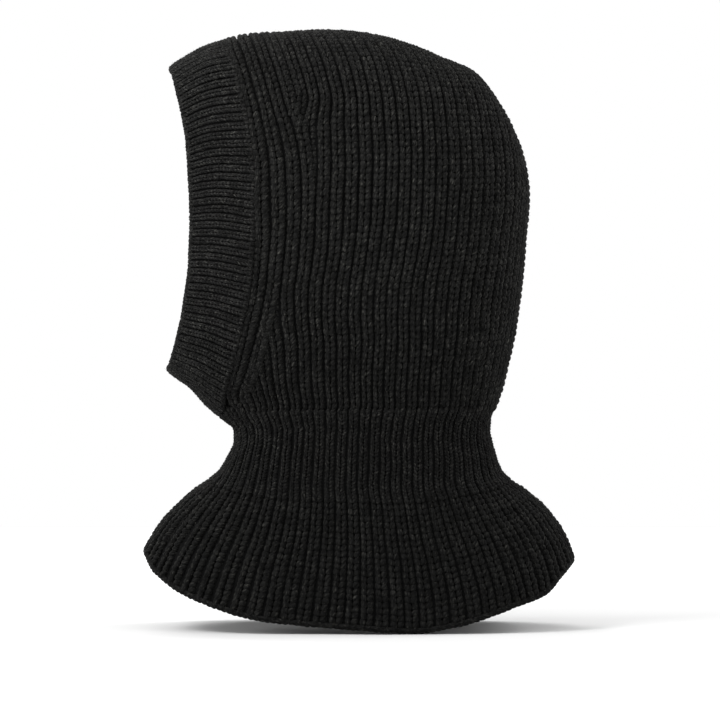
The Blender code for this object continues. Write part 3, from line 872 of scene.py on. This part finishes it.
def shell(name, panel, depth, thickness, stands_for, slot, before=0.0,
          open_last=False):
    """The cloth behind the stitches, both sides of the object in one closed sheet.

    It lies depth mm under the panel's face. The two sides are joined at the last wale, or with
    open_last at the first.
    """
    u = np.linspace(-before, panel.last, int(panel.last * 2) + 1)[:, None]
    v = np.linspace(0, 1, 61)[None, :] * (panel.end(u) + 0.6) - 0.3
    u = np.broadcast_to(u, v.shape)
    face, normals = panel.pick(panel.points, u, v), unit(panel.pick(panel.normals, u, v))
    if open_last:
        face, normals = face[::-1], normals[::-1]
    face, normals = (np.concatenate([x, (x * MIRROR)[::-1][1:]]) for x in (face, normals))
    columns, rows = face.shape[:2]
    outer, inner = face - normals * depth, face - normals * (depth + thickness)
    vertices = np.concatenate([outer.reshape(-1, 3), inner.reshape(-1, 3)])
    i, j = np.meshgrid(np.arange(columns - 1), np.arange(rows - 1), indexing="ij")
    a = (i * rows + j).ravel()
    quads = np.column_stack([a, a + rows, a + rows + 1, a + 1])
    under = quads[:, ::-1] + columns * rows
    low = np.arange(columns - 1) * rows
    side = np.arange(rows - 1)
    far = (columns - 1) * rows + side
    step = columns * rows
    walls = [np.column_stack([low + rows, low, low + step, low + rows + step]),
             np.column_stack([low + rows - 1, low + 2 * rows - 1, low + 2 * rows - 1 + step,
                              low + rows - 1 + step]),
             np.column_stack([side, side + 1, side + 1 + step, side + step]),
             np.column_stack([far + 1, far, far + step, far + 1 + step])]
    faces = np.concatenate([quads, under, *walls])
    if open_last:
        faces = faces[:, ::-1]
    made = piece(name, vertices[None], faces.tolist(), None, CORE, slot, stands_for)


def ribbon(line, across, normals, width, depth, course):
    """A narrow panel along a line, for a row of chain stitches in a seam."""
    along = distances(line)
    count = int(along[-1] / course * 2)
    where = np.linspace(0, along[-1], count)

    def at(values):
        return np.column_stack([np.interp(where, along, values[:, k]) for k in range(3)])

    line, across, normals = at(line), unit(at(across)), unit(at(normals))
    line = line - normals * depth
    points = np.stack([line - across * width / 2, line + across * width / 2])
    return Panel(points, np.stack([normals, normals]), 1.0, 0.0, 0.5, np.full(2, (count - 1) / 2))


def middle_ribbon(line, width, depth, course):
    """The same along a line on the middle plane."""
    line = line * np.array([0.0, 1, 1])
    along = unit(np.gradient(line, axis=0))
    across = np.tile([1.0, 0, 0], (len(line), 1))
    normals = np.cross(along, across)
    normals *= np.sign((from_inside(line) * normals).sum(1, keepdims=True))
    return ribbon(line, across, normals, width, depth, course)


def chain(name, ribbons, yarn, stands_for, going):
    """A row of small chain stitches along a seam or an edge."""
    made = [tubes(*legs(strip, "chain", ribs(strip, 0.5), 5, rng), 6, rng) for strip in ribbons]
    vertices, places = (np.concatenate(x) for x in list(zip(*made))[:2])
    going.append(piece(name, vertices, made[0][2], places, *yarn, [stands_for]))


def core(name, line, normals, radius, yarn, going):
    """Yarn laid along the inside of a seam or a turned-over edge, so that no light gets through."""
    thick = np.full((1, len(line)), radius)
    vertices, places, faces = tubes(line[None], normals[None], thick, thick, 8, rng)
    going.append(piece(name, vertices, faces, places, *yarn))


def round_both(values):
    """Values along the +X side, then along the other side back to the start."""
    return np.concatenate([values, (values * MIRROR)[::-1]])


# Sides and rings of a stitch's tube.
OUTSIDE, INSIDE = (8, 5), (6, 3)
# From the cloth's outer face to its inner one, in mm.
HOOD_THICK, NECK_THICK, BAND_THICK = 6.4, 5.2, 4.4

hood, band = hood_panel(rng), band_panel(rng)
neck = ring_panel(rng, NECK_SHARE, 0.0, NECK_COURSES, 0.0, 0, under_chin=1.5)
bib = ring_panel(rng, 1.0, NECK_SHARE, BIB_COURSES, EDGE_ROUND, 2)
with_hood, with_band, with_neck, with_bib = [], [], [], []

# Each panel's stitches. The pairs are first and over of legs(), outside and inside.
for side, view in (("left", lambda p: p), ("right", lambda p: p.flipped())):
    for panel, kind, thick, yarn, parts, fuzz, going, ends, inner_ends in (
            (hood, "hood", HOOD_THICK, MAIN, 2, 9000, with_hood, (-0.8, 0.4), (0.2, 0.0)),
            (neck, "neck", NECK_THICK, MAIN, 1, 3500, with_neck, (-1.2, 0.7), (-0.8, 0.8)),
            (bib, "bib", HOOD_THICK, MAIN, 1, 4500, with_bib,
             (bib.v0 + 0.1, 0.8), (0.2, 0.8)),
            (band, "band", BAND_THICK, BAND, 1, 4500, with_band,
             (band.v0 + 0.1, 0.9), (0.2, 0.6))):
        going += stitches(f"{kind}_ribs_{side}", view(panel), kind, 0.5, OUTSIDE, yarn, parts,
                          fuzz, first=ends[0], over=ends[1])
        going += stitches(f"{kind}_inside_{side}", view(panel).turned(thick), kind, 0.0,
                          INSIDE, yarn, first=inner_ends[0], over=inner_ends[1])


# Seams on the middle plane: the chain's width, its depth and the length of its stitches, in mm.
for name, line, chain_form, going in (
        ("crown", head_surface(crown_line(np.linspace(0, 1, 120)))[2:-2], (4.4, 2.4, 3.2),
         with_hood),
        ("chin", band_lines(np.array([1.0]))[0][3:], (3.4, 1.7, 2.4), with_band),
        ("front", ring_surface(np.full(120, -1.0), np.linspace(0.02, 0.98, 120)),
         (3.8, 2.0, 2.8), with_bib)):
    strip = middle_ribbon(line, *chain_form)
    under_chain, seam_yarn = 1.2, 1.3
    chain(f"{name}_chain", [strip], SEAM, f"{name}_seam", going)
    core(f"{name}_core", strip.points.mean(0) - strip.normals[0] * under_chain, strip.normals[0],
         seam_yarn, SEAM, going)

# The seam between the band and the hood or neck.
seam_u = np.linspace(0, BAND_RIBS, 4 * BAND_RIBS)
seam_v = band.end(seam_u)
seam_points = band.pick(band.points, seam_u, seam_v)
seam_across = seam_points - band.pick(band.points, seam_u, seam_v - 1)
seam_normals = unit(band.pick(band.normals, seam_u, seam_v))
seam_strip = ribbon(seam_points, seam_across, seam_normals, 4.6, 1.3, 2.6)
chain("band_seam_chain", [seam_strip, seam_strip.flipped()], SEAM, "face_band_seam", with_band)
core("band_seam_core", round_both(seam_points - seam_normals * 2.9), round_both(seam_normals), 1.5,
     SEAM, with_band)


def edge_strip(panel, angle, width, course):
    """A ribbon round the turned-over edge of a panel, that far round it."""
    cut, depth = 0.2, 0.2
    u = np.linspace(cut, panel.last - cut, 400)
    edge, inward = (panel.pick(panel.points, u, np.full_like(u, v)) for v in (0.0, 1.0))
    normals = unit(panel.pick(panel.normals, u, np.zeros_like(u)))
    towards = unit(edge - inward)
    out = math.sin(angle) * towards + math.cos(angle) * normals
    across = math.cos(angle) * towards - math.sin(angle) * normals
    centre = edge - normals * EDGE_ROUND
    return ribbon(centre + out * EDGE_ROUND, across, out, width, depth, course)


# The two edges: how far round the chain lies, its width and the length of its stitches.
edges = (("face_edge", band, (2.15, 3.4, 2.6), BAND, with_band),
         ("hem", bib, (2.3, 4.2, 3.6), MAIN, with_bib))
for name, panel, _, yarn, going in edges:
    edge_u = np.linspace(0, panel.last, 400)
    edge_normals = unit(panel.pick(panel.normals, edge_u, 0 * edge_u))
    edge_line = panel.pick(panel.points, edge_u, 0 * edge_u) - edge_normals * EDGE_ROUND
    core(f"{name}_core", round_both(edge_line), round_both(edge_normals), EDGE_ROUND - 1.0,
         yarn, going)
for name, panel, chain_form, yarn, going in edges:
    strip = edge_strip(panel, *chain_form)
    chain(f"{name}_chain", [strip, strip.flipped()], yarn, f"{name}_bind_off", going)


def fibres(name, share, longest, material, going):
    """Loose fibres standing off the yarn, a little curved, each a thin three-sided spike."""
    radius, shortest = 0.035, 0.3
    at, out, along = (np.concatenate(x) for x in (fuzz_at, fuzz_out, fuzz_along))
    pick = rng.choice(len(at), int(len(at) * share), replace=False)
    at, out, along = at[pick], out[pick], along[pick]
    n = len(at)
    length = longest * rng.beta(1.6, 3.0, (n, 1)) + shortest
    side = unit(np.cross(along, out))
    way = unit(out * rng.uniform(0.15, 1.0, (n, 1)) + along * rng.normal(0, 0.9, (n, 1))
               + side * rng.normal(0, 0.6, (n, 1)))
    bend = unit(rng.normal(0, 1, (n, 3))) * length * 0.25
    middle = at + way * length * 0.5 + bend
    tip = at + way * length + bend * 0.5 - out * length * 0.12
    flat = unit(np.cross(way, rng.normal(0, 1, (n, 3))))
    other = np.cross(way, flat)
    ring = np.stack([flat, -0.5 * flat + 0.87 * other, -0.5 * flat - 0.87 * other], axis=1)
    vertices = np.concatenate([at[:, None] - out[:, None] * 0.1 + ring * radius,
                               middle[:, None] + ring * radius * 0.8, tip[:, None]], axis=1)
    faces = [(0, 1, 4, 3), (1, 2, 5, 4), (2, 0, 3, 5), (3, 4, 6), (4, 5, 6), (5, 3, 6), (2, 1, 0)]
    going.append(piece(name, vertices, faces, None, material, "main_knit"))


fibres("fuzz_dark", 0.75, 2.6, FUZZ_DARK, with_hood)
fibres("fuzz_light", 0.2, 2.0, FUZZ_LIGHT, with_hood)

shell("hood_cloth", hood, 3.2, 0.6, ["hood_body"], "main_knit",
      before=0.3)
shell("band_cloth", band, 2.0, 0.5, ["face_band"], "band_knit",
      open_last=True)
shell("neck_cloth", neck, 2.4, 0.6, ["neck_rib"], "main_knit")
shell("bib_cloth", bib, 3.2, 0.6, ["bib_flare"], "main_knit")

# ---- stage

low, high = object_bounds()
scene = bpy.context.scene
scene.view_settings.view_transform = "Standard"
world = bpy.data.worlds.new("studio")
scene.world = world
world.use_nodes = True
background = world.node_tree.nodes["Background"].inputs
background["Color"].default_value = (1, 1, 1, 1)
background["Strength"].default_value = 1.0

bpy.ops.mesh.primitive_plane_add(size=3.2, location=(0, 0, low.z))
floor = bpy.context.object
floor.name = "floor"
floor.data.materials.append(plain("floor_white", (0.66, 0.66, 0.66), 1.0, 0.0))
floor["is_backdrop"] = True

# The picture's middle, on the object's middle plane, and its width, in metres; the lens in mm.
AIM = in_frame(np.array([0.0, 0.0, 172.9]))
PICTURE_WIDTH = 0.468
LENS, SENSOR = 210.0, 36.0
camera_data = bpy.data.cameras.new("camera")
camera_data.lens = LENS
camera_data.sensor_width = SENSOR
camera = bpy.data.objects.new("camera", camera_data)
scene.collection.objects.link(camera)
camera.location = (PICTURE_WIDTH * LENS / SENSOR, AIM[1], AIM[2])
camera.rotation_euler = (math.pi / 2, 0, math.pi / 2)
camera_data.clip_end = 100
scene.camera = camera


def lamp(name, place, width, power):
    """A square lamp towards the picture's middle, with its width in metres and power in watts."""
    data = bpy.data.lights.new(name, "AREA")
    data.size = width
    data.energy = power
    made = bpy.data.objects.new(name, data)
    scene.collection.objects.link(made)
    made.location = place
    aim = Vector((0, AIM[1], AIM[2])) - Vector(place)
    made.rotation_euler = aim.to_track_quat("-Z", "Y").to_euler()


lamp("key", (1.1, -1.3, 1.5), 0.9, 34)
lamp("back", (-0.6, 1.5, 0.9), 0.8, 16)
lamp("other_side", (-1.6, -0.6, 0.8), 0.9, 16)
lamp("front", (0.6, -2.4, 0.5), 0.8, 26)
